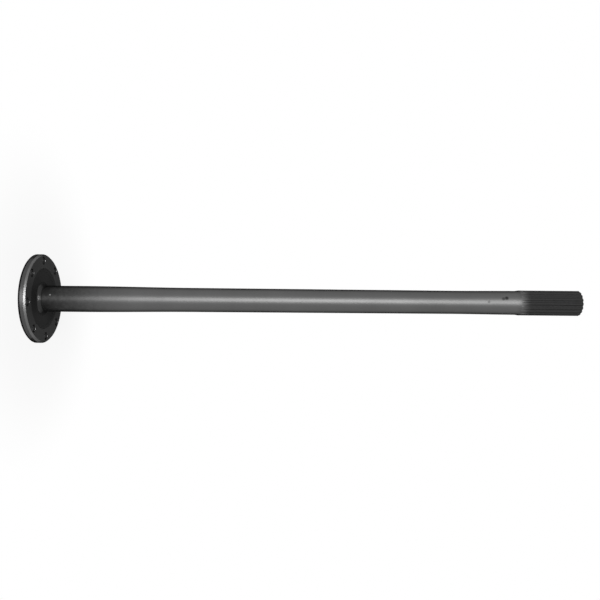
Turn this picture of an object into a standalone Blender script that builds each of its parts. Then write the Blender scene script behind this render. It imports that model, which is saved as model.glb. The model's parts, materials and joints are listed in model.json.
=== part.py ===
"""Truck rear axle shaft: a bolting flange, a waisted shaft and a splined end, forged and turned as one piece.

The shaft stands on the outboard face of its flange. The origin is the centre of that face and +Z runs along
the shaft to the splined end. The first bolt hole lies on +X. Lengths are in metres and angles in radians.
"""

import math

import bmesh
import bpy

# Overall
SHAFT_LENGTH = 1.006

# Flange
FLANGE_D = 0.165
FLANGE_THICKNESS = 0.0125
RIM_BEVEL_HEIGHT = 0.0029
RIM_STRAIGHT = FLANGE_THICKNESS - RIM_BEVEL_HEIGHT
RIM_DRAFT = 0.0028
RIM_ROUND = 0.0012
OUTBOARD_CHAMFER = 0.0008

# Ring that seats on the hub, and the dish turned into the inboard face inside it
SEAT_WIDTH = 0.0253
DISH_D = FLANGE_D - 2 * SEAT_WIDTH
DISH_DEPTH = 0.0034
DISH_WALL_ANGLE = math.radians(50)
DISH_EDGE_ROUND = 0.002
DISH_FLOOR_ROUND = 0.004

# Bolt holes, set in from the rim
BOLT_COUNT = 8
BOLT_INSET = 0.012
BOLT_CIRCLE_D = FLANGE_D - 2 * BOLT_INSET
BOLT_HOLE_D = 0.014
BOLT_HOLE_CHAMFER = 0.0007

# Shaft, from the flange to the spline
HUB_FILLET = 0.007
ROOT_D = 0.0485
ROOT_END = 0.080
ROOT_TAPER_LENGTH = 0.220
BODY_D = 0.0448
WAIST_D = 0.0431
NECK_TAPER_LENGTH = 0.115
NECK_D = 0.0444
SHOULDER_LENGTH = 0.006

# Spline, an involute one with flat roots, turned on from the first bolt hole
SPLINE_TEETH = 17
SPLINE_MODULE = 0.0025
SPLINE_PRESSURE_ANGLE = math.radians(30)
SPLINE_MAJOR_D = 0.0464
SPLINE_MINOR_D = 0.0414
SPLINE_SPACE = 0.0029
SPLINE_LENGTH = 0.095
SPLINE_END_CHAMFER = 0.0010
SPLINE_CUTTER_R = 0.060
SPLINE_TURN = math.radians(3.97)

# Lathe centres, drilled in both ends
CENTRE_MOUTH_D = 0.013
CENTRE_CONE_ANGLE = math.radians(60)
CENTRE_PILOT_D = 0.005
CENTRE_PILOT_LENGTH = 0.008
DRILL_POINT_ANGLE = math.radians(118)

# Fineness of the faceted surfaces
TURNED_SEGMENTS = 64
HOLE_SEGMENTS = 24
ARC_STEP = math.radians(16)
TAPER_STEPS = 5
FLANK_STEPS = 3
RUN_OUT_STEPS = 6

# How far a cutter stands proud of the surface that it cuts
CUT_MARGIN = 0.001

SHARP_ANGLE = math.radians(35)
MERGE_DISTANCE = 0.00005


def rounded(corners):
    """The (radius, height) points through the corners, each with an arc of its own round, the third value."""
    points = []
    for index, (r, z, round_r) in enumerate(corners):
        if not round_r:
            points.append((r, z))
            continue
        before = corners[index - 1]
        after = corners[index + 1]
        points += arc_at(before[:2], (r, z), after[:2], round_r)
    return points


def arc_at(before, corner, after, radius):
    """The points of the arc that rounds one corner and touches the lines on its two sides."""
    to_before = math.atan2(before[1] - corner[1], before[0] - corner[0])
    to_after = math.atan2(after[1] - corner[1], after[0] - corner[0])
    turn = math.remainder(to_after - to_before, math.tau)
    half = abs(turn) / 2
    middle = to_before + turn / 2
    reach = radius / math.sin(half)
    centre = (corner[0] + reach * math.cos(middle), corner[1] + reach * math.sin(middle))
    swept = math.pi - abs(turn)
    steps = max(2, math.ceil(swept / ARC_STEP))
    away = middle + math.pi
    way = math.copysign(1, turn)
    points = []
    for step in range(steps + 1):
        angle = away + way * swept * (0.5 - step / steps)
        points.append((centre[0] + radius * math.cos(angle), centre[1] + radius * math.sin(angle)))
    return points


def eased(start, end):
    """Points of a taper from one (radius, height) to another, tangent to a cylinder at both ends."""
    points = []
    for step in range(TAPER_STEPS + 1):
        share = step / TAPER_STEPS
        ease = (1 - math.cos(math.pi * share)) / 2
        points.append((start[0] + (end[0] - start[0]) * ease, start[1] + (end[1] - start[1]) * share))
    return points


def plain(points):
    """The same points as corners without a round."""
    return [(r, z, 0) for r, z in points]


def centre_drilling(face_z, inward):
    """Corners of a lathe centre from its drill point on the axis out to its mouth; inward is the way it goes in."""
    pilot_r = CENTRE_PILOT_D / 2
    mouth_r = CENTRE_MOUTH_D / 2
    cone_z = face_z + inward * (mouth_r - pilot_r) / math.tan(CENTRE_CONE_ANGLE / 2)
    pilot_z = cone_z + inward * CENTRE_PILOT_LENGTH
    point_z = pilot_z + inward * pilot_r / math.tan(DRILL_POINT_ANGLE / 2)
    return [(0, point_z), (pilot_r, pilot_z), (pilot_r, cone_z), (mouth_r, face_z)]


def run_out_length(depth):
    """How far beyond the full tooth spaces the round spline cutter still reaches this depth."""
    return math.sqrt(2 * SPLINE_CUTTER_R * depth - depth**2)


def spline_start():
    """Height at which the tooth spaces have run out."""
    depth = (SPLINE_MAJOR_D - SPLINE_MINOR_D) / 2
    return SHAFT_LENGTH - SPLINE_LENGTH - run_out_length(depth)


def shaft_outline():
    """Corners of the shaft from the splined end down to where it meets the flange."""
    major_r = SPLINE_MAJOR_D / 2
    chamfer_r = major_r - SPLINE_END_CHAMFER
    shoulder_top = spline_start()
    shoulder_bottom = shoulder_top - SHOULDER_LENGTH
    neck_end = shoulder_bottom - NECK_TAPER_LENGTH
    spline_end = [
        (chamfer_r, SHAFT_LENGTH),
        (major_r, SHAFT_LENGTH - SPLINE_END_CHAMFER),
        (major_r, shoulder_top),
    ]
    neck = eased((NECK_D / 2, shoulder_bottom), (WAIST_D / 2, neck_end))
    root = eased((BODY_D / 2, ROOT_END + ROOT_TAPER_LENGTH), (ROOT_D / 2, ROOT_END))
    return plain(spline_end + neck + root)


def flange_outline():
    """Corners of the flange from the hub fillet over the rim to the outboard face."""
    rim_r = FLANGE_D / 2
    dish_r = DISH_D / 2
    dish_z = FLANGE_THICKNESS - DISH_DEPTH
    dish_floor_r = dish_r - DISH_DEPTH / math.tan(DISH_WALL_ANGLE)
    return [
        (ROOT_D / 2, dish_z, HUB_FILLET),
        (dish_floor_r, dish_z, DISH_FLOOR_ROUND),
        (dish_r, FLANGE_THICKNESS, DISH_EDGE_ROUND),
        (rim_r - RIM_DRAFT, FLANGE_THICKNESS, RIM_ROUND),
        (rim_r, RIM_STRAIGHT, 0),
        (rim_r, OUTBOARD_CHAMFER, 0),
        (rim_r - OUTBOARD_CHAMFER, 0, 0),
    ]


def shaft_profile():
    """Half section of the whole forging, from the drilled splined end down its outer side to the flange."""
    top_centre = plain(centre_drilling(SHAFT_LENGTH, -1))
    bottom_centre = plain(reversed(centre_drilling(0, 1)))
    return rounded(top_centre + shaft_outline() + flange_outline() + bottom_centre)


def bolt_hole_profile():
    """Half section of a bolt hole cutter, flared at both faces of the flange to leave the hole's chamfers."""
    hole_r = BOLT_HOLE_D / 2
    mouth_r = hole_r + BOLT_HOLE_CHAMFER + CUT_MARGIN
    return [
        (0, FLANGE_THICKNESS + CUT_MARGIN),
        (mouth_r, FLANGE_THICKNESS + CUT_MARGIN),
        (hole_r, FLANGE_THICKNESS - BOLT_HOLE_CHAMFER),
        (hole_r, BOLT_HOLE_CHAMFER),
        (mouth_r, -CUT_MARGIN),
        (0, -CUT_MARGIN),
    ]


def new_object(name, collection, bm):
    """An object that takes over the edited mesh."""
    mesh = bpy.data.meshes.new(name)
    bm.to_mesh(mesh)
    bm.free()
    obj = bpy.data.objects.new(name, mesh)
    collection.objects.link(obj)
    return obj


def turned(name, collection, profile, segments):
    """A profile of (radius, height) points turned about Z by a Screw modifier."""
    bm = bmesh.new()
    verts = [bm.verts.new((r, 0, z)) for r, z in profile]
    for start, end in zip(verts, verts[1:]):
        bm.edges.new((start, end))
    obj = new_object(name, collection, bm)
    screw = obj.modifiers.new("turn", "SCREW")
    screw.axis = "Z"
    screw.angle = math.tau
    screw.steps = segments
    screw.render_steps = segments
    screw.use_merge_vertices = True
    screw.merge_threshold = MERGE_DISTANCE
    return obj


def involute(angle):
    """The involute function of a pressure angle."""
    return math.tan(angle) - angle


def tooth_space_section():
    """Outline of one tooth space across the spline, centred on +X, from its flat root to outside the teeth."""
    pitch_d = SPLINE_MODULE * SPLINE_TEETH
    base_r = pitch_d / 2 * math.cos(SPLINE_PRESSURE_ANGLE)
    root_r = SPLINE_MINOR_D / 2
    top_r = SPLINE_MAJOR_D / 2 + CUT_MARGIN
    flank = []
    for step in range(FLANK_STEPS + 1):
        r = root_r + (top_r - root_r) * step / FLANK_STEPS
        widening = involute(math.acos(base_r / r)) - involute(SPLINE_PRESSURE_ANGLE)
        half_angle = SPLINE_SPACE / pitch_d + widening
        flank.append((r * math.cos(half_angle), r * math.sin(half_angle)))
    return [(x, -y) for x, y in flank] + flank[::-1]


def tooth_space_mesh():
    """One tooth space swept down from the shaft's end, then out of the shaft along the round cutter's path."""
    full_z = SHAFT_LENGTH - SPLINE_LENGTH
    lift = (SPLINE_MAJOR_D - SPLINE_MINOR_D) / 2 + CUT_MARGIN
    last_angle = math.acos(1 - lift / SPLINE_CUTTER_R)
    stations = [(0, SHAFT_LENGTH + CUT_MARGIN)]
    for step in range(RUN_OUT_STEPS + 1):
        angle = last_angle * step / RUN_OUT_STEPS
        stations.append((SPLINE_CUTTER_R * (1 - math.cos(angle)), full_z - SPLINE_CUTTER_R * math.sin(angle)))
    bm = bmesh.new()
    section = tooth_space_section()
    loops = [[bm.verts.new((x + out, y, z)) for x, y in section] for out, z in stations]
    bm.faces.new(loops[0])
    for upper, lower in zip(loops, loops[1:]):
        for index in range(len(section)):
            bm.faces.new((upper[index - 1], lower[index - 1], lower[index], upper[index]))
    bm.faces.new(loops[-1][::-1])
    bmesh.ops.recalc_face_normals(bm, faces=bm.faces)
    return bm


def as_cutter(obj):
    """Shows an object as a wire guide that no render and no build takes in."""
    obj.hide_render = True
    obj.display_type = "WIRE"


def ring_of_copies(first, count, collection, reach=0.0, turn=0.0):
    """Sets a cutter and copies that share its mesh evenly about the shaft's axis, at a reach from it."""
    as_cutter(first)
    for index in range(count):
        cutter = first
        if index:
            cutter = first.copy()
            cutter.name = f"{first.name}_{index}"
            collection.objects.link(cutter)
        around = turn + math.tau * index / count
        cutter.location = (reach * math.cos(around), reach * math.sin(around), 0)
        cutter.rotation_euler.z = around


def bolt_hole_cutters(parent):
    """A collection of cutters, one for each bolt hole."""
    holes = bpy.data.collections.new("bolt_hole_cutters")
    parent.children.link(holes)
    hole = turned("bolt_hole_cutter", holes, bolt_hole_profile(), HOLE_SEGMENTS)
    ring_of_copies(hole, BOLT_COUNT, holes, reach=BOLT_CIRCLE_D / 2)
    return holes


def tooth_space_cutters(parent):
    """A collection of cutters, one for each space between the spline's teeth."""
    spaces = bpy.data.collections.new("tooth_space_cutters")
    parent.children.link(spaces)
    space = new_object("tooth_space_cutter", spaces, tooth_space_mesh())
    ring_of_copies(space, SPLINE_TEETH, spaces, turn=SPLINE_TURN)
    return spaces


def cut(obj, cutters):
    """Cuts every object of a collection out of the forging."""
    boolean = obj.modifiers.new(cutters.name, "BOOLEAN")
    boolean.operation = "DIFFERENCE"
    boolean.solver = "EXACT"
    boolean.operand_type = "COLLECTION"
    boolean.collection = cutters


def blackened_steel():
    """Dark semi-gloss coating on forged steel."""
    material = bpy.data.materials.new("blackened_steel")
    material.use_nodes = True
    shader = material.node_tree.nodes["Principled BSDF"]
    shader.inputs["Base Color"].default_value = (0.10, 0.10, 0.101, 1)
    shader.inputs["Metallic"].default_value = 0.8
    shader.inputs["Roughness"].default_value = 0.38
    return material


def finish_turning(obj):
    """Makes the turned surface the object's own mesh, shaded smooth with the corners of its outline sharp."""
    graph = bpy.context.evaluated_depsgraph_get()
    surface = bpy.data.meshes.new_from_object(obj.evaluated_get(graph))
    surface.shade_smooth()
    surface.set_sharp_from_angle(angle=SHARP_ANGLE)
    obj.modifiers.clear()
    obj.data = surface


def clear_scene():
    for obj in list(bpy.data.objects):
        bpy.data.objects.remove(obj, do_unlink=True)


def main():
    clear_scene()
    scene_collection = bpy.context.scene.collection
    parts = bpy.data.collections.new("axle_shaft")
    scene_collection.children.link(parts)
    cutters = bpy.data.collections.new("cutters")
    cutters.hide_render = True
    scene_collection.children.link(cutters)

    shaft = turned("axle_shaft", parts, shaft_profile(), TURNED_SEGMENTS)
    finish_turning(shaft)
    cut(shaft, bolt_hole_cutters(cutters))
    cut(shaft, tooth_space_cutters(cutters))
    shaft.data.materials.append(blackened_steel())


main()
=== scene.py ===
"""A forged, turned and splined truck axle shaft, standing on its bolting flange in a plain pale studio.

Lengths are in metres. The origin is the centre of the flange's outboard face, and +Z runs along the shaft to
its splined end. The first bolt hole lies on +X.
"""

import json
import math

import bpy
from bpy.props import FloatProperty, FloatVectorProperty, IntProperty, PointerProperty
from mathutils import Matrix, Vector


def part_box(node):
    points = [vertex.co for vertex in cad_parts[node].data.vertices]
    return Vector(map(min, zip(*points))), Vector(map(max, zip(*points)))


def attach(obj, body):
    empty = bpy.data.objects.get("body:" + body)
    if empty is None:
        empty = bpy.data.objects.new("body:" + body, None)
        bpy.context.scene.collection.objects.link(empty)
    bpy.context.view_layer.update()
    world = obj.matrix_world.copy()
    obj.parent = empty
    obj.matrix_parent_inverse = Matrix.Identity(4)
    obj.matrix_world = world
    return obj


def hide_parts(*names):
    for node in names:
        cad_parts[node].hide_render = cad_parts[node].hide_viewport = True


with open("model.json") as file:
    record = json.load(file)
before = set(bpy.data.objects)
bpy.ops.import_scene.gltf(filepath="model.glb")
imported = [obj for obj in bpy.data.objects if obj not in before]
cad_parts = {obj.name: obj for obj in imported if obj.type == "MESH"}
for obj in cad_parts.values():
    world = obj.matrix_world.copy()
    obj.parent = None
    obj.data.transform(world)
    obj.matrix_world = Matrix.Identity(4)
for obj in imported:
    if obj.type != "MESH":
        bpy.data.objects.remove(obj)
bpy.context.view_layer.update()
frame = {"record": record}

bl_info = {
    "name": "Axle shaft",
    "version": (1, 0, 0),
    "blender": (4, 5, 0),
    "location": "3D View > Sidebar > Axle Shaft",
    "description": "Models a flanged and splined axle shaft and a plain studio for it",
    "category": "Add Mesh",
}

NODE = "axle_shaft"
BODY = "root"
PIECE = "forged_shaft"

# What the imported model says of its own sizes
MOUNTS = {mount["name"]: mount for mount in frame["record"]["mounts"]}
OPENINGS = frame["record"]["physics"]["openings"]
LOW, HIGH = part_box(NODE)
SEAT_HEIGHT = MOUNTS["hub_face"]["pos_m"][2]
FIRST_HOLE = OPENINGS[0]["box_m"]
HOLE_REACH = (FIRST_HOLE[0][0] + FIRST_HOLE[1][0]) / 2

# Plain white over the floor and its shadow: its share near the shaft, where it starts to rise and is whole
FLOOR_GLOW = 0.86
FLOOR_NEAR = 0.09
FLOOR_FAR = 0.34

# Where the lamps stand and how large the soft ones are
KEY_DISTANCE = 1.3
TOP_DISTANCE = 3.5
FILL_DISTANCE = 1.6
FILL_HEIGHT = 0.9
FILL_BEARING = math.radians(150)
FILL_WIDTH = 0.9
FILL_LENGTH = 1.4

# Width of the camera's sensor in mm
SENSOR_WIDTH = 36

# Depth of the marks that a turning tool leaves, and of the finer ones on smooth steel
MARK_DEPTH = 0.00002
FINE_MARK_DEPTH = 0.00001

# Turn of the gloss that makes it longest across the tool marks, as a share of a full turn
ACROSS_MARKS = 0.25

# Forging scale flakes and painted shade on the root of the shaft, next to the flange: the height where they
# are whole and where they end, and how dark the painted shade is
SCALE_AND_SHADE_START = 0.020
SCALE_AND_SHADE_END = 0.190
PAINTED_ROOT_SHADE = 0.62

# Painted shade: a black line along the foot of the rim, where it meets the floor: the height where it is
# whole and where it ends, and how dark it is
FOOT_START = 0.0022
FOOT_END = 0.0044
PAINTED_FOOT_SHADE = 0.93

# Darker dish: how far outside its edge the shade sets in, how far inside it is whole, and the shade
DISH_SHADE_OUT = 0.0005
DISH_SHADE_IN = 0.002
DISH_SHADE = 0.4

# Dark stains on the shaft: height, bearing from the side that the camera sees, size and depth of the shade
CAMERA_SIDE = math.radians(-94.8)
STAINS = (
    (0.8665, math.radians(-23), 0.0048, 0.75),
    (0.8605, math.radians(-19), 0.0045, 0.55),
    (0.8337, math.radians(-4), 0.0035, 0.45),
)

# Small bright specks painted on the shaft: height, bearing, size and how many times brighter
SPECKS = (
    (0.0316, math.radians(-17), 0.0018, 9.0),
)

# Share of a stain's or a speck's size over which it is whole
SPOT_CORE = 0.3

# Where the spline's dull coat sets in, before the teeth, and where it is whole, past the start of the teeth
COAT_BEFORE = 0.010
COAT_PAST = 0.020

# How finely the surface is turned and cut
TURN_STEPS = 272
HOLE_STEPS = 48
ARC_STEP = math.radians(6)
TAPER_STEPS = 16
FLANK_STEPS = 6
RUN_OUT_STEPS = 14
CUT_MARGIN = 0.001
MERGE_DISTANCE = 0.00001
SMOOTH_ANGLE = math.radians(28)

# How much of a face's normal lies level: more than this on chamfers and walls, and on upright walls only
LEANING = 0.3
UPRIGHT = 0.9


def length(name, description, default):
    """A size in metres that the sidebar shows."""
    return FloatProperty(
        name=name, description=description, default=default, min=0, precision=5, unit="LENGTH"
    )


def turn(name, description, degrees):
    """An angle that the sidebar shows."""
    return FloatProperty(name=name, description=description, default=math.radians(degrees), unit="ROTATION")


def share(name, description, default):
    """A value between none and all."""
    return FloatProperty(name=name, description=description, default=default, min=0, max=1, subtype="FACTOR")


def power(name, description, watts):
    """A lamp's power that the sidebar shows."""
    return FloatProperty(name=name, description=description, default=watts, unit="POWER")


def grey(name, description, level):
    """A neutral colour, given by its level."""
    return FloatVectorProperty(
        name=name, description=description, default=(level, level, level), min=0, max=1, subtype="COLOR"
    )


class AxleSizes(bpy.types.PropertyGroup):
    """Sizes of the forging."""

    shaft_length: length("Shaft length", "From the outboard face to the splined end", HIGH.z)

    flange_diameter: length("Flange diameter", "Across the rim", HIGH.y - LOW.y)
    flange_thickness: length("Flange thickness", "At the ring that seats on the hub", SEAT_HEIGHT)
    rim_bevel_height: length("Rim bevel height", "Of the bevel above the straight part of the rim", 0.0029)
    rim_draft: length("Rim draft", "How far the rim falls back above its straight part", 0.0028)
    rim_round: length("Rim round", "Radius between the rim and the seating ring", 0.0012)
    outboard_chamfer: length("Outboard chamfer", "Chamfer of the rim's outboard edge", 0.0008)

    seat_width: length("Seat width", "From the rim to the edge of the dish", 0.0253)
    dish_depth: length("Dish depth", "How deep the dish is turned into the inboard face", 0.0034)
    dish_wall_angle: turn("Dish wall angle", "Slope of the dish's wall", 50)
    dish_edge_round: length("Dish edge round", "Radius at the top of the dish's wall", 0.002)
    dish_floor_round: length("Dish floor round", "Radius at the foot of the dish's wall", 0.004)

    bolt_count: IntProperty(
        name="Bolt holes", description="Number of bolt holes", default=len(OPENINGS), min=1
    )
    bolt_reach: length("Bolt circle radius", "From the axis to a bolt hole", HOLE_REACH)
    bolt_hole_diameter: length("Bolt hole diameter", "Across a bolt hole", 0.014)
    bolt_hole_chamfer: length("Bolt hole chamfer", "Chamfer at both ends of a bolt hole", 0.0007)

    hub_fillet: length("Hub fillet", "Radius between the dish and the shaft", 0.007)
    root_diameter: length("Root diameter", "Of the shaft next to the flange", 0.0485)
    root_end: length("Root end", "Height at which the root starts to narrow", 0.080)
    root_taper_length: length("Root taper length", "Over which the root narrows to the body", 0.220)
    body_diameter: length("Body diameter", "Of the shaft above the root", 0.0448)
    waist_diameter: length("Waist diameter", "Of the shaft's narrowest place", 0.0431)
    neck_taper_length: length("Neck taper length", "Over which the waist widens to the neck", 0.115)
    neck_diameter: length("Neck diameter", "Of the shaft below the spline", 0.0444)
    shoulder_length: length("Shoulder length", "Of the step from the neck to the spline", 0.006)

    spline_teeth: IntProperty(name="Spline teeth", description="Number of teeth", default=17, min=6)
    spline_module: length("Spline module", "Pitch diameter divided by the number of teeth", 0.0025)
    spline_pressure_angle: turn("Spline pressure angle", "Of the involute flanks", 30)
    spline_major_diameter: length("Spline major diameter", "Across the tops of the teeth", 0.0464)
    spline_minor_diameter: length("Spline minor diameter", "Across the roots of the teeth", 0.0414)
    spline_space: length("Spline space", "Width of a tooth space at the pitch circle", 0.0029)
    spline_length: length("Spline length", "Of the teeth at full depth", 0.095)
    spline_end_chamfer: length("Spline end chamfer", "Chamfer at the end of the shaft", 0.0010)
    spline_cutter_radius: length("Spline cutter radius", "Of the round cutter that runs out", 0.060)
    spline_turn: turn("Spline turn", "From the first bolt hole to the first tooth space", 3.97)
    spline_root_round: length("Spline root round", "Radius at the foot of a flank", 0.00035)
    spline_tip_break: length("Spline tip break", "Bevel along the edges of a tooth", 0.00018)

    centre_mouth_diameter: length("Centre mouth diameter", "Of a lathe centre at the face", 0.013)
    centre_cone_angle: turn("Centre cone angle", "Full angle of a lathe centre", 60)
    centre_pilot_diameter: length("Centre pilot diameter", "Of the drilling behind the cone", 0.005)
    centre_pilot_length: length("Centre pilot length", "Of the drilling behind the cone", 0.008)
    drill_point_angle: turn("Drill point angle", "Full angle of the drilling's end", 118)


class AxleFinishes(bpy.types.PropertyGroup):
    """Colours and finishes of the steel."""

    shaft_colour: grey("Shaft colour", "Blackened steel of the turned shaft", 0.120)
    shaft_metal: share("Shaft metal", "How much of the shaft's shade is mirrored", 1.0)
    shaft_roughness: share("Shaft roughness", "Of the turned shaft", 0.45)
    spline_colour: grey("Spline colour", "Dull blackened steel of the spline", 0.036)
    spline_metal: share("Spline metal", "How much of the spline's shade is mirrored", 0.45)
    spline_roughness: share("Spline roughness", "Of the spline", 0.85)
    face_colour: grey("Face colour", "Blackened steel of the flange's faces", 0.030)
    face_metal: share("Face metal", "How much of the faces' shade is mirrored", 0.45)
    face_roughness: share("Face roughness", "Of the flange's faces", 0.45)
    smooth_colour: grey("Smooth colour", "Smooth black steel of the hub fillet and the hole chamfers", 0.034)
    smooth_metal: share("Smooth metal", "How much of the smooth steel's shade is mirrored", 0.60)
    smooth_roughness: share("Smooth roughness", "Of the hub fillet and the hole chamfers", 0.22)
    rim_colour: grey("Rim colour", "Turned steel of the flange's rim", 0.10)
    rim_metal: share("Rim metal", "How much of the rim's shade is mirrored", 0.85)
    rim_roughness: share("Rim roughness", "Of the flange's rim", 0.50)
    bevel_colour: grey("Bevel colour", "Bright turned bevel of the rim", 0.12)
    bevel_metal: share("Bevel metal", "How much of the bevel's shade is mirrored", 0.9)
    bevel_roughness: share("Bevel roughness", "Of the rim's bevel", 0.35)
    bore_colour: grey("Bore colour", "Steel of the drilled bolt holes", 0.11)
    bore_metal: share("Bore metal", "How much of the bores' shade is mirrored", 0.95)
    bore_roughness: share("Bore roughness", "Of the drilled bolt holes", 0.30)
    grain: share("Grain", "How much longer the shaft's gloss is across the tool marks", 0.60)
    rim_grain: share("Rim grain", "How much longer the rim's gloss is across the tool marks", 0.95)
    edge_tint: grey("Edge tint", "How much the round steel mirrors at a grazing look", 0.02)
    face_tint: grey("Face tint", "How much the flat steel mirrors at a grazing look", 0.45)


class AxleStudio(bpy.types.PropertyGroup):
    """The studio's lamps, floor and camera."""

    camera_place: FloatVectorProperty(
        name="Camera place", description="Where the camera stands", default=(-0.0953, -1.1233, 0.4928),
        unit="LENGTH", precision=4,
    )
    camera_bearing: turn("Camera bearing", "Turn of the camera about the shaft's axis", -2.46)
    camera_yaw: turn("Camera yaw", "Turn towards the splined end", 0.216)
    camera_pitch: turn("Camera pitch", "Tilt across the shaft", -2.30)
    camera_roll: turn("Camera roll", "Roll about the line of sight", -0.515)
    camera_lens: FloatProperty(name="Lens", description="Focal length in mm on a 36 mm sensor", default=36.3)

    key_power: power("Key power", "Of the broad lamp by the camera", 14.0)
    key_length: length("Key length", "Of the broad lamp", 1.05)
    key_width: length("Key width", "Of the broad lamp", 0.70)
    key_bearing: turn("Key bearing", "Of the broad lamp, counted from the camera", -4)
    top_power: power("Top power", "Of the lamp overhead", 76)
    top_width: length("Top width", "Of the lamp overhead", 1.40)
    top_length: length("Top length", "Of the lamp overhead", 0.45)
    top_bearing: turn("Top bearing", "Of the lamp overhead, counted from the camera", -9)
    top_elevation: turn("Top elevation", "Of the lamp overhead, above the floor", 66)
    fill_power: power("Fill power", "Of each lamp behind the shaft", 6)
    ambient: share("Ambient", "Light that comes from all round", 0.10)

    floor_colour: grey("Floor colour", "Of the pale floor", 0.55)
    floor_reach: length("Floor reach", "Half the side of the floor", 6.0)


def chords(swept):
    """How many chords an arc takes."""
    return max(2, math.ceil(swept / ARC_STEP))


def arc_at(before, corner, after, radius):
    """The points of the arc that rounds one corner and touches the lines on its two sides."""
    to_before = math.atan2(before[1] - corner[1], before[0] - corner[0])
    to_after = math.atan2(after[1] - corner[1], after[0] - corner[0])
    angle = math.remainder(to_after - to_before, math.tau)
    half = abs(angle) / 2
    middle = to_before + angle / 2
    reach = radius / math.sin(half)
    centre = (corner[0] + reach * math.cos(middle), corner[1] + reach * math.sin(middle))
    swept = math.pi - abs(angle)
    steps = chords(swept)
    points = []
    for step in range(steps + 1):
        at = middle + math.pi + math.copysign(swept, angle) * (0.5 - step / steps)
        points.append((centre[0] + radius * math.cos(at), centre[1] + radius * math.sin(at)))
    return points


def rounded(corners):
    """The points through the corners. The third value of a corner is the radius that rounds it, or 0."""
    points = []
    for index, (across, along, radius) in enumerate(corners):
        if radius:
            points += arc_at(corners[index - 1][:2], (across, along), corners[index + 1][:2], radius)
        else:
            points.append((across, along))
    return points


def eased(start, end):
    """Points of a taper from one (radius, height) to another, tangent to a cylinder at both ends."""
    points = []
    for step in range(TAPER_STEPS + 1):
        part = step / TAPER_STEPS
        ease = (1 - math.cos(math.pi * part)) / 2
        points.append((start[0] + (end[0] - start[0]) * ease, start[1] + (end[1] - start[1]) * part))
    return points


def plain(points):
    """The same points as corners that stay sharp."""
    return [(across, along, 0) for across, along in points]


def centre_drilling(sizes, face, inward):
    """Corners of a lathe centre, from the point of its drilling out to its mouth in a face."""
    pilot = sizes.centre_pilot_diameter / 2
    mouth = sizes.centre_mouth_diameter / 2
    cone = face + inward * (mouth - pilot) / math.tan(sizes.centre_cone_angle / 2)
    end = cone + inward * sizes.centre_pilot_length
    point = end + inward * pilot / math.tan(sizes.drill_point_angle / 2)
    return [(0, point), (pilot, end), (pilot, cone), (mouth, face)]


def spline_start(sizes):
    """Height at which the round cutter has left the shaft."""
    depth = (sizes.spline_major_diameter - sizes.spline_minor_diameter) / 2
    run_out = math.sqrt(2 * sizes.spline_cutter_radius * depth - depth**2)
    return sizes.shaft_length - sizes.spline_length - run_out


def shaft_corners(sizes):
    """Corners of the shaft from its splined end down to the root."""
    major = sizes.spline_major_diameter / 2
    top = spline_start(sizes)
    neck_top = top - sizes.shoulder_length
    neck_end = neck_top - sizes.neck_taper_length
    end = [
        (major - sizes.spline_end_chamfer, sizes.shaft_length),
        (major, sizes.shaft_length - sizes.spline_end_chamfer),
        (major, top),
    ]
    neck = eased((sizes.neck_diameter / 2, neck_top), (sizes.waist_diameter / 2, neck_end))
    root = eased(
        (sizes.body_diameter / 2, sizes.root_end + sizes.root_taper_length),
        (sizes.root_diameter / 2, sizes.root_end),
    )
    return plain(end + neck + root)


def flange_corners(sizes):
    """Corners of the flange from the hub fillet over the rim to the outboard face."""
    rim = sizes.flange_diameter / 2
    seat = sizes.flange_thickness
    dish = rim - sizes.seat_width
    dish_floor = seat - sizes.dish_depth
    dish_foot = dish - sizes.dish_depth / math.tan(sizes.dish_wall_angle)
    return [
        (sizes.root_diameter / 2, dish_floor, sizes.hub_fillet),
        (dish_foot, dish_floor, sizes.dish_floor_round),
        (dish, seat, sizes.dish_edge_round),
        (rim - sizes.rim_draft, seat, sizes.rim_round),
        (rim, seat - sizes.rim_bevel_height, 0),
        (rim, sizes.outboard_chamfer, 0),
        (rim - sizes.outboard_chamfer, 0, 0),
    ]


def shaft_profile(sizes):
    """Half section of the whole forging, from the drilled splined end over its outer side to the flange."""
    top_centre = plain(centre_drilling(sizes, sizes.shaft_length, -1))
    bottom_centre = plain(reversed(centre_drilling(sizes, 0, 1)))
    return rounded(top_centre + shaft_corners(sizes) + flange_corners(sizes) + bottom_centre)


def draw_outline(name, points):
    """A new mesh in edit mode: one vertex at the first point, extruded from point to point."""
    bpy.ops.object.select_all(action="DESELECT")
    bpy.ops.mesh.primitive_plane_add(location=points[0])
    obj = bpy.context.object
    obj.name = name
    bpy.ops.object.mode_set(mode="EDIT")
    bpy.ops.mesh.select_all(action="SELECT")
    bpy.ops.mesh.merge(type="CENTER")
    for start, end in zip(points, points[1:]):
        step = Vector(end) - Vector(start)
        bpy.ops.mesh.extrude_region_move(TRANSFORM_OT_translate={"value": step})
    return obj


def settle(obj):
    """Leaves edit mode and puts the object's place into its mesh."""
    bpy.ops.object.mode_set(mode="OBJECT")
    bpy.ops.object.transform_apply(location=True, rotation=True, scale=True)
    return obj


def face_out():
    """Closes seams and poles, and turns every face of the edited mesh outwards."""
    bpy.ops.mesh.select_all(action="SELECT")
    bpy.ops.mesh.remove_doubles(threshold=MERGE_DISTANCE)
    bpy.ops.mesh.normals_make_consistent(inside=False)


def copies_round(count):
    """Repeats the edited mesh evenly about the shaft's axis."""
    bpy.ops.mesh.select_all(action="SELECT")
    swept = math.tau * (count - 1) / count
    bpy.ops.mesh.spin(steps=count - 1, dupli=True, angle=swept, center=(0, 0, 0), axis=(0, 0, 1))


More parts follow.
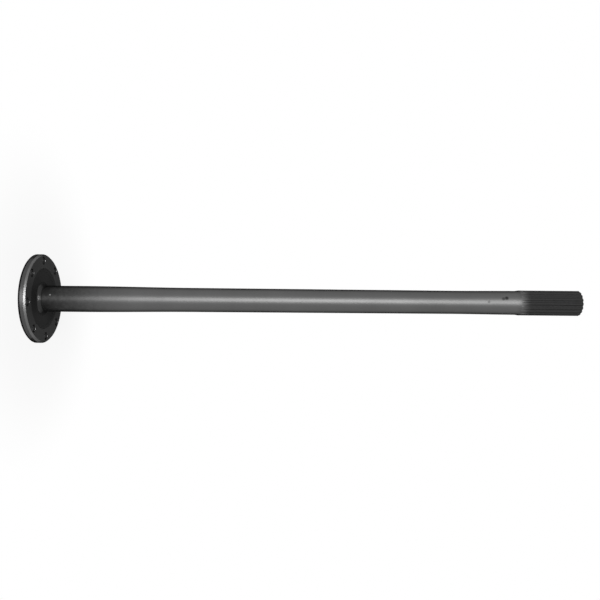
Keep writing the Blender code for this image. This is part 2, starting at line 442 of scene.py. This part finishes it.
def turn_shaft(sizes):
    """The forging before it is drilled and splined: its half section spun about the axis."""
    points = [(across, 0, along) for across, along in shaft_profile(sizes)]
    shaft = draw_outline(PIECE, points)
    bpy.ops.mesh.select_all(action="SELECT")
    bpy.ops.mesh.spin(steps=TURN_STEPS, angle=math.tau, center=(0, 0, 0), axis=(0, 0, 1))
    face_out()
    return settle(shaft)


def bolt_hole_cutters(sizes):
    """One mesh that fills every bolt hole, flared at both faces to leave the chamfers."""
    hole = sizes.bolt_hole_diameter / 2
    mouth = hole + sizes.bolt_hole_chamfer + CUT_MARGIN
    flare = sizes.bolt_hole_chamfer + CUT_MARGIN
    straight = sizes.flange_thickness - 2 * sizes.bolt_hole_chamfer
    axis = Vector((sizes.bolt_reach, 0, 0))
    bpy.ops.object.select_all(action="DESELECT")
    bpy.ops.mesh.primitive_circle_add(
        vertices=HOLE_STEPS, radius=mouth, fill_type="NGON", location=(sizes.bolt_reach, 0, -CUT_MARGIN)
    )
    cutters = bpy.context.object
    bpy.ops.object.mode_set(mode="EDIT")
    for rise, scale in ((flare, hole / mouth), (straight, 1), (flare, mouth / hole)):
        bpy.ops.mesh.extrude_region_move(TRANSFORM_OT_translate={"value": (0, 0, rise)})
        bpy.ops.transform.resize(value=(scale, scale, 1), center_override=axis)
    face_out()
    copies_round(sizes.bolt_count)
    return settle(cutters)


def involute(angle):
    """The involute function of a pressure angle."""
    return math.tan(angle) - angle


def tooth_space_outline(sizes):
    """Outline of one tooth space across the spline, centred on +X, open past the tops of the teeth."""
    pitch_diameter = sizes.spline_module * sizes.spline_teeth
    base = pitch_diameter / 2 * math.cos(sizes.spline_pressure_angle)
    root = sizes.spline_minor_diameter / 2
    tip = sizes.spline_major_diameter / 2
    broken = tip - sizes.spline_tip_break
    flank = []
    for step in range(FLANK_STEPS + 1):
        radius = root + (broken - root) * step / FLANK_STEPS
        widening = involute(math.acos(base / radius)) - involute(sizes.spline_pressure_angle)
        half = sizes.spline_space / pitch_diameter + widening
        flank.append((radius * math.cos(half), radius * math.sin(half)))
    foot = (*flank[0], sizes.spline_root_round)
    opening = CUT_MARGIN + sizes.spline_tip_break
    flare = (flank[-1][0] + opening, flank[-1][1] + opening)
    upper = [foot, *plain(flank[1:]), (*flare, 0)]
    lower = [(across, -along, radius) for across, along, radius in reversed(upper)]
    return rounded([*lower, *upper])


def tooth_space_cutters(sizes):
    """One mesh that fills every tooth space: swept down the spline, then out as the round cutter went."""
    top = sizes.shaft_length + CUT_MARGIN
    depth = (sizes.spline_major_diameter - sizes.spline_minor_diameter) / 2
    last = math.acos(1 - (depth + CUT_MARGIN) / sizes.spline_cutter_radius)
    path = [(0, top)]
    for step in range(RUN_OUT_STEPS + 1):
        angle = last * step / RUN_OUT_STEPS
        out = sizes.spline_cutter_radius * (1 - math.cos(angle))
        down = sizes.spline_cutter_radius * math.sin(angle)
        path.append((out, sizes.shaft_length - sizes.spline_length - down))
    turned = Matrix.Rotation(sizes.spline_turn, 3, "Z")
    outline = [turned @ Vector((across, along, top)) for across, along in tooth_space_outline(sizes)]
    cutters = draw_outline("tooth_spaces", outline)
    bpy.ops.mesh.select_all(action="SELECT")
    bpy.ops.mesh.edge_face_add()
    for start, end in zip(path, path[1:]):
        step = turned @ Vector((end[0] - start[0], 0, end[1] - start[1]))
        bpy.ops.mesh.extrude_region_move(TRANSFORM_OT_translate={"value": step})
    face_out()
    copies_round(sizes.spline_teeth)
    return settle(cutters)


def make_active(obj):
    """Selects one object alone."""
    bpy.ops.object.select_all(action="DESELECT")
    obj.select_set(True)
    bpy.context.view_layer.objects.active = obj


def cut(obj, cutters):
    """Cuts a mesh out of the object, then removes it."""
    make_active(obj)
    boolean = obj.modifiers.new("cut", "BOOLEAN")
    boolean.operation = "DIFFERENCE"
    boolean.solver = "EXACT"
    boolean.object = cutters
    bpy.ops.object.modifier_apply(modifier=boolean.name)
    bpy.data.objects.remove(cutters, do_unlink=True)


def finish_surface(obj):
    """Shades the round surfaces smooth and leaves the corners sharp."""
    make_active(obj)
    bpy.ops.object.mode_set(mode="EDIT")
    face_out()
    bpy.ops.object.mode_set(mode="OBJECT")
    bpy.ops.object.shade_smooth_by_angle(angle=SMOOTH_ANGLE)
    weighted = obj.modifiers.new("weighted", "WEIGHTED_NORMAL")
    weighted.keep_sharp = True
    bpy.ops.object.modifier_apply(modifier=weighted.name)


class Value:
    """What one socket gives out. Arithmetic on it adds Math nodes to its shader."""

    def __init__(self, shader, socket):
        self.shader = shader
        self.socket = socket

    def output(self, name):
        """Another output of the same node."""
        return Value(self.shader, self.socket.node.outputs[name])

    def __add__(self, other):
        return self.shader.math("ADD", self, other)

    def __sub__(self, other):
        return self.shader.math("SUBTRACT", self, other)

    def __rsub__(self, other):
        return self.shader.math("SUBTRACT", other, self)

    def __mul__(self, other):
        return self.shader.math("MULTIPLY", self, other)

    __radd__ = __add__
    __rmul__ = __mul__


class Shader:
    """The node tree of a material or of the world, emptied and built up again."""

    def __init__(self, owner):
        owner.use_nodes = True
        self.tree = owner.node_tree
        self.tree.nodes.clear()

    def node(self, kind, settings=None, sockets=None, output=0):
        """Adds a node, sets its settings and then its sockets, and returns one of its outputs."""
        made = self.tree.nodes.new(kind)
        for name, value in (settings or {}).items():
            setattr(made, name, value)
        for key, value in (sockets or {}).items():
            if isinstance(value, Value):
                self.tree.links.new(value.socket, made.inputs[key])
            else:
                made.inputs[key].default_value = value
        return Value(self, made.outputs[output]) if made.outputs else None

    def math(self, operation, *values):
        """A Math node."""
        return self.node("ShaderNodeMath", {"operation": operation}, dict(enumerate(values)))

    def ramp(self, value, start, end):
        """Eases from 0 to 1 as a value goes from start to end. The end may be the lower of the two."""
        if start > end:
            return 1 - self.ramp(value, end, start)
        return self.node(
            "ShaderNodeMapRange",
            {"interpolation_type": "SMOOTHSTEP"},
            {"Value": value, "From Min": start, "From Max": end},
        )

    def end(self, kind, surface):
        """Links a shader to the tree's output."""
        self.node(kind, None, {"Surface": surface})


class SteelShader(Shader):
    """A steel surface: coordinates about the shaft's axis, patterns on them, and the steel at the end."""

    def __init__(self, name):
        self.material = bpy.data.materials.new(name)
        super().__init__(self.material)
        self.place = self.node("ShaderNodeTexCoord", output="Object")
        x = self.node("ShaderNodeSeparateXYZ", None, {"Vector": self.place}, "X")
        y = x.output("Y")
        self.z = x.output("Z")
        self.radius = self.math("SQRT", x * x + y * y)

    def noise(self, scale, detail=3):
        """Soft noise about 0.5 in three dimensions."""
        sockets = {"Vector": self.place, "Scale": scale, "Detail": detail}
        return self.node("ShaderNodeTexNoise", {"noise_dimensions": "3D"}, sockets, "Fac")

    def mottled(self, middle, spread, scale, detail=3):
        """A value that wanders about a middle, by up to half a spread either way."""
        return middle + spread * (self.noise(scale, detail) - 0.5)

    def marks(self, value, scale, detail=3):
        """Noise about 0.5 that changes along one value only, as the marks of a turning tool do."""
        sockets = {"W": value, "Scale": scale, "Detail": detail}
        return self.node("ShaderNodeTexNoise", {"noise_dimensions": "1D"}, sockets, "Fac")

    def spot(self, centre, size):
        """1 at a point in the piece's own coordinates, easing to 0 at a distance from it."""
        sockets = {0: self.place, 1: centre}
        away = self.node("ShaderNodeVectorMath", {"operation": "DISTANCE"}, sockets, "Value")
        return self.ramp(away, size, SPOT_CORE * size)

    def steel(self, colour, level, metal, roughness, relief, depth, edge_tint, grain=0.0):
        """Ends the tree in steel: a colour times a level, with a relief and its depth in metres."""
        sockets = {0: tuple(colour), "Scale": level}
        tone = self.node("ShaderNodeVectorMath", {"operation": "SCALE"}, sockets)
        normal = self.node("ShaderNodeBump", None, {"Strength": 1.0, "Distance": depth, "Height": relief})
        shader = self.node(
            "ShaderNodeBsdfPrincipled",
            None,
            {
                "Base Color": tone,
                "Metallic": metal,
                "Roughness": roughness,
                "Specular IOR Level": 0,
                "Specular Tint": (*edge_tint, 1),
                "Anisotropic": grain,
                "Anisotropic Rotation": ACROSS_MARKS,
                "Normal": normal,
            },
        )
        self.end("ShaderNodeOutputMaterial", shader)
        return self.material


def blend(start, end, part):
    """A value that goes over from one to another as a part goes from 0 to 1."""
    return start + (end - start) * part


def shaft_point(sizes, height, bearing):
    """A point on the side of the shaft that the camera sees, its bearing counted from the camera's."""
    angle = CAMERA_SIDE + bearing
    radius = (sizes.root_diameter if height < sizes.root_end else sizes.neck_diameter) / 2
    return (radius * math.cos(angle), radius * math.sin(angle), height)


def coat(shader, sizes):
    """How much of the spline's dull coat lies on a point."""
    start = spline_start(sizes)
    return shader.ramp(shader.z, start - COAT_BEFORE, start + COAT_PAST)


def shaft_steel(sizes, finishes):
    """Turned and blackened shaft, with scale flakes and painted shade at its root, going over into the
    spline's dull coat.
    """
    shader = SteelShader("turned_black_shaft")
    dull = coat(shader, sizes)
    # The root's scale flakes, and painted shade that darkens the root next to the flange
    scale = shader.ramp(shader.z, SCALE_AND_SHADE_END, SCALE_AND_SHADE_START)
    flakes = scale * shader.mottled(0, spread=0.9, scale=160, detail=5)
    level = (shader.mottled(1, spread=0.28, scale=18) + flakes) * (1 - PAINTED_ROOT_SHADE * scale)
    level = level * blend(1, finishes.spline_colour[0] / finishes.shaft_colour[0], dull)
    for height, bearing, size, shade in STAINS:
        level = level * (1 - shade * shader.spot(shaft_point(sizes, height, bearing), size))
    for height, bearing, size, gain in SPECKS:
        level = level * blend(1, gain, shader.spot(shaft_point(sizes, height, bearing), size))
    roughness = blend(finishes.shaft_roughness, finishes.spline_roughness, dull)
    return shader.steel(
        colour=finishes.shaft_colour,
        level=level,
        metal=blend(finishes.shaft_metal, finishes.spline_metal, dull),
        roughness=shader.mottled(roughness, spread=0.06, scale=60, detail=4),
        relief=blend(shader.marks(shader.z, scale=900), shader.noise(scale=140, detail=4), 0.5),
        depth=MARK_DEPTH,
        edge_tint=finishes.edge_tint,
        grain=finishes.grain,
    )


def spline_steel(sizes, finishes):
    """Dull blackened teeth, still as bright as the shaft where they start."""
    shader = SteelShader("dull_black_spline")
    dull = coat(shader, sizes)
    roughness = blend(finishes.shaft_roughness, finishes.spline_roughness, dull)
    return shader.steel(
        colour=finishes.spline_colour,
        level=shader.mottled(1, spread=0.2, scale=90)
        * blend(finishes.shaft_colour[0] / finishes.spline_colour[0], 1, dull),
        metal=blend(finishes.shaft_metal, finishes.spline_metal, dull),
        roughness=shader.mottled(roughness, spread=0.08, scale=250),
        relief=shader.noise(scale=900),
        depth=MARK_DEPTH,
        edge_tint=finishes.edge_tint,
    )


def face_steel(sizes, finishes):
    """Turned faces of the flange, darker in the dish."""
    shader = SteelShader("turned_black_face")
    dish = sizes.flange_diameter / 2 - sizes.seat_width
    in_dish = shader.ramp(shader.radius, dish + DISH_SHADE_OUT, dish - DISH_SHADE_IN)
    return shader.steel(
        colour=finishes.face_colour,
        level=shader.mottled(1, spread=0.3, scale=40) * (1 - DISH_SHADE * in_dish),
        metal=finishes.face_metal,
        roughness=shader.mottled(finishes.face_roughness, spread=0.06, scale=90),
        relief=shader.marks(shader.radius, scale=800),
        depth=MARK_DEPTH,
        edge_tint=finishes.face_tint,
    )


def smooth_steel(sizes, finishes):
    """Smooth fillet between the dish and the shaft, and chamfers of the bolt holes."""
    shader = SteelShader("smooth_black_steel")
    return shader.steel(
        colour=finishes.smooth_colour,
        level=shader.mottled(1, spread=0.3, scale=60),
        metal=finishes.smooth_metal,
        roughness=finishes.smooth_roughness,
        relief=shader.noise(scale=200),
        depth=FINE_MARK_DEPTH,
        edge_tint=finishes.edge_tint,
    )


def bore_steel(sizes, finishes):
    """Bare drilled steel of the bolt holes."""
    shader = SteelShader("drilled_steel")
    return shader.steel(
        colour=finishes.bore_colour,
        level=shader.mottled(1, spread=0.4, scale=200),
        metal=finishes.bore_metal,
        roughness=finishes.bore_roughness,
        relief=shader.marks(shader.z, scale=2500),
        depth=MARK_DEPTH,
        edge_tint=finishes.face_tint,
    )


def rim_steel(sizes, finishes):
    """Brighter turned rim, with painted shade as a black line along its foot."""
    shader = SteelShader("turned_rim")
    # Painted shade along the foot of the rim
    foot = shader.ramp(shader.z, FOOT_END, FOOT_START)
    return shader.steel(
        colour=finishes.rim_colour,
        level=shader.mottled(1, spread=0.3, scale=60) * (1 - PAINTED_FOOT_SHADE * foot),
        metal=finishes.rim_metal,
        roughness=shader.mottled(finishes.rim_roughness, spread=0.06, scale=120),
        relief=shader.marks(shader.z + shader.radius, scale=1500),
        depth=FINE_MARK_DEPTH,
        edge_tint=finishes.edge_tint,
        grain=finishes.rim_grain,
    )


def bevel_steel(sizes, finishes):
    """Bright turned bevel between the rim and the face."""
    shader = SteelShader("bright_bevel")
    return shader.steel(
        colour=finishes.bevel_colour,
        level=shader.mottled(1, spread=0.3, scale=60),
        metal=finishes.bevel_metal,
        roughness=shader.mottled(finishes.bevel_roughness, spread=0.06, scale=120),
        relief=shader.marks(shader.radius, scale=1500),
        depth=FINE_MARK_DEPTH,
        edge_tint=finishes.edge_tint,
    )


def paint_where(obj, material, chosen):
    """Gives a material to the faces that a test on centre and normal chooses."""
    obj.data.materials.append(material)
    obj.active_material_index = len(obj.data.materials) - 1
    for face in obj.data.polygons:
        face.select = chosen(face.center, face.normal)
    bpy.ops.object.mode_set(mode="EDIT")
    bpy.ops.object.material_slot_assign()
    bpy.ops.object.mode_set(mode="OBJECT")


def dress(obj, sizes, finishes):
    """Gives each turned, cut and drilled surface its steel, each one over those before it."""
    rim = sizes.flange_diameter / 2 - sizes.rim_draft - sizes.rim_round
    straight = sizes.flange_thickness - sizes.rim_bevel_height
    dish_floor = sizes.flange_thickness - sizes.dish_depth
    fillet = sizes.root_diameter / 2 + sizes.hub_fillet
    fillet_top = dish_floor + sizes.hub_fillet
    hole = sizes.bolt_hole_diameter / 2 + sizes.bolt_hole_chamfer
    teeth = spline_start(sizes)

    def on_fillet(centre):
        return centre.xy.length < fillet and dish_floor < centre.z <= fillet_top

    def in_hole(centre, normal):
        near = abs(centre.xy.length - sizes.bolt_reach) < hole
        return near and 0 < centre.z < sizes.flange_thickness and normal.xy.length > LEANING

    def on_rim(centre, normal):
        return centre.xy.length > rim and normal.xy.length > LEANING

    surfaces = (
        (shaft_steel, lambda centre, normal: True),
        (spline_steel, lambda centre, normal: centre.z > teeth),
        (face_steel, lambda centre, normal: centre.z <= fillet_top),
        (smooth_steel, lambda centre, normal: on_fillet(centre) or in_hole(centre, normal)),
        (bore_steel, lambda centre, normal: in_hole(centre, normal) and normal.xy.length > UPRIGHT),
        (rim_steel, on_rim),
        (bevel_steel, lambda centre, normal: on_rim(centre, normal) and centre.z > straight),
    )
    make_active(obj)
    bpy.context.tool_settings.mesh_select_mode = (False, False, True)
    for steel, chosen in surfaces:
        paint_where(obj, steel(sizes, finishes), chosen)


class AXLE_OT_forged_shaft(bpy.types.Operator):
    """Model the axle shaft: turn it, drill its flange, cut its spline and dress it"""

    bl_idname = "axle.forged_shaft"
    bl_label = "Forged Shaft"
    bl_options = {"REGISTER", "UNDO"}

    def execute(self, context):
        sizes = context.scene.axle_sizes
        shaft = turn_shaft(sizes)
        cut(shaft, bolt_hole_cutters(sizes))
        cut(shaft, tooth_space_cutters(sizes))
        finish_surface(shaft)
        dress(shaft, sizes, context.scene.axle_finishes)
        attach(shaft, BODY)
        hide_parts(NODE)
        return {"FINISHED"}


def seen_directly(shader):
    """1 for what the camera, a mirror or a glass shows, and 0 for what only lights a surface."""
    camera = shader.node("ShaderNodeLightPath", output="Is Camera Ray")
    rays = camera + camera.output("Is Glossy Ray") + camera.output("Is Transmission Ray")
    return shader.math("MINIMUM", rays, 1)


def light_world(studio):
    """A white surround for looks and mirrors, and a weaker even light from it."""
    world = bpy.context.scene.world or bpy.data.worlds.new("studio")
    bpy.context.scene.world = world
    shader = Shader(world)
    strength = blend(studio.ambient, 1, seen_directly(shader))
    background = shader.node("ShaderNodeBackground", None, {"Color": (1, 1, 1, 1), "Strength": strength})
    shader.end("ShaderNodeOutputWorld", background)


def lay_floor(studio):
    """A pale floor that shows the shadow near the shaft and turns white around it."""
    bpy.ops.object.select_all(action="DESELECT")
    bpy.ops.mesh.primitive_plane_add(size=2 * studio.floor_reach)
    floor = bpy.context.object
    floor.name = "floor"
    material = bpy.data.materials.new("pale_floor")
    shader = Shader(material)
    place = shader.node("ShaderNodeTexCoord", output="Object")
    distance = shader.node("ShaderNodeVectorMath", {"operation": "LENGTH"}, {0: place}, "Value")
    whiteness = blend(FLOOR_GLOW, 1, shader.ramp(distance, FLOOR_NEAR, FLOOR_FAR))
    diffuse = shader.node("ShaderNodeBsdfDiffuse", None, {"Color": (*studio.floor_colour, 1)})
    white = shader.node("ShaderNodeEmission", None, {"Color": (1, 1, 1, 1), "Strength": 1})
    seen = seen_directly(shader)
    mixed = shader.node("ShaderNodeMixShader", None, {0: whiteness * seen, 1: diffuse, 2: white})
    shader.end("ShaderNodeOutputMaterial", mixed)
    floor.data.materials.append(material)


def area_lamp(name, place, target, width, height, watts):
    """A rectangular lamp that faces a target, with its height upright."""
    bpy.ops.object.light_add(type="AREA", location=place)
    lamp = bpy.context.object
    lamp.name = name
    lamp.rotation_euler = (Vector(target) - Vector(place)).to_track_quat("-Z", "Y").to_euler()
    lamp.data.shape = "RECTANGLE"
    lamp.data.size = width
    lamp.data.size_y = height
    lamp.data.energy = watts
    lamp.visible_camera = False


def round_about(studio, bearing, distance, height):
    """A place about the shaft, its bearing counted from the camera's."""
    angle = math.atan2(studio.camera_place[1], studio.camera_place[0]) + bearing
    return Vector((distance * math.cos(angle), distance * math.sin(angle), height))


def hang_lamps(studio, sizes):
    """A broad lamp by the camera, one overhead and two soft ones behind the shaft."""
    middle = (0, 0, sizes.shaft_length / 2)
    key_height = studio.key_length / 2
    key = round_about(studio, studio.key_bearing, KEY_DISTANCE, key_height)
    area_lamp("key", key, (0, 0, key_height), studio.key_width, studio.key_length, studio.key_power)
    out = TOP_DISTANCE * math.cos(studio.top_elevation)
    up = TOP_DISTANCE * math.sin(studio.top_elevation)
    top = round_about(studio, studio.top_bearing, out, up)
    area_lamp("top", top, (0, 0, 0), studio.top_width, studio.top_length, studio.top_power)
    for name, bearing in (("back_left", FILL_BEARING), ("back_right", -FILL_BEARING)):
        fill = round_about(studio, bearing, FILL_DISTANCE, FILL_HEIGHT)
        area_lamp(name, fill, middle, FILL_WIDTH, FILL_LENGTH, studio.fill_power)


def set_camera(studio):
    """The camera lies on its side, so that the standing shaft crosses the picture."""
    bpy.ops.object.camera_add(location=studio.camera_place)
    camera = bpy.context.object
    lying = Matrix(((0, -1, 0), (0, 0, -1), (1, 0, 0)))
    aim = Matrix.Rotation(studio.camera_bearing, 3, "Z") @ lying
    aim = aim @ Matrix.Rotation(studio.camera_yaw, 3, "Y")
    aim = aim @ Matrix.Rotation(studio.camera_pitch, 3, "X")
    aim = aim @ Matrix.Rotation(-studio.camera_roll, 3, "Z")
    camera.rotation_euler = aim.to_euler()
    camera.data.sensor_width = SENSOR_WIDTH
    camera.data.lens = studio.camera_lens
    bpy.context.scene.camera = camera


class AXLE_OT_studio(bpy.types.Operator):
    """Set up the floor, the lamps, the surround and the camera"""

    bl_idname = "axle.studio"
    bl_label = "Studio"
    bl_options = {"REGISTER", "UNDO"}

    def execute(self, context):
        studio = context.scene.axle_studio
        light_world(studio)
        lay_floor(studio)
        hang_lamps(studio, context.scene.axle_sizes)
        set_camera(studio)
        context.scene.view_settings.view_transform = "Standard"
        return {"FINISHED"}


class AXLE_PT_panel(bpy.types.Panel):
    """Sizes, finishes and studio of the axle shaft"""

    bl_label = "Axle Shaft"
    bl_idname = "AXLE_PT_panel"
    bl_space_type = "VIEW_3D"
    bl_region_type = "UI"
    bl_category = "Axle Shaft"

    def draw(self, context):
        layout = self.layout
        for operator in OPERATORS:
            layout.operator(operator.bl_idname)
        for group in (context.scene.axle_sizes, context.scene.axle_finishes, context.scene.axle_studio):
            box = layout.box()
            for name in group.bl_rna.properties.keys():
                if name not in ("rna_type", "name"):
                    box.prop(group, name)


OPERATORS = (AXLE_OT_forged_shaft, AXLE_OT_studio)
CLASSES = (AxleSizes, AxleFinishes, AxleStudio, *OPERATORS, AXLE_PT_panel)


def register():
    for cls in CLASSES:
        bpy.utils.register_class(cls)
    bpy.types.Scene.axle_sizes = PointerProperty(type=AxleSizes)
    bpy.types.Scene.axle_finishes = PointerProperty(type=AxleFinishes)
    bpy.types.Scene.axle_studio = PointerProperty(type=AxleStudio)


def unregister():
    del bpy.types.Scene.axle_sizes
    del bpy.types.Scene.axle_finishes
    del bpy.types.Scene.axle_studio
    for cls in reversed(CLASSES):
        bpy.utils.unregister_class(cls)


def main():
    register()
    bpy.ops.axle.forged_shaft()
    bpy.ops.axle.studio()


if __name__ == "__main__":
    main()
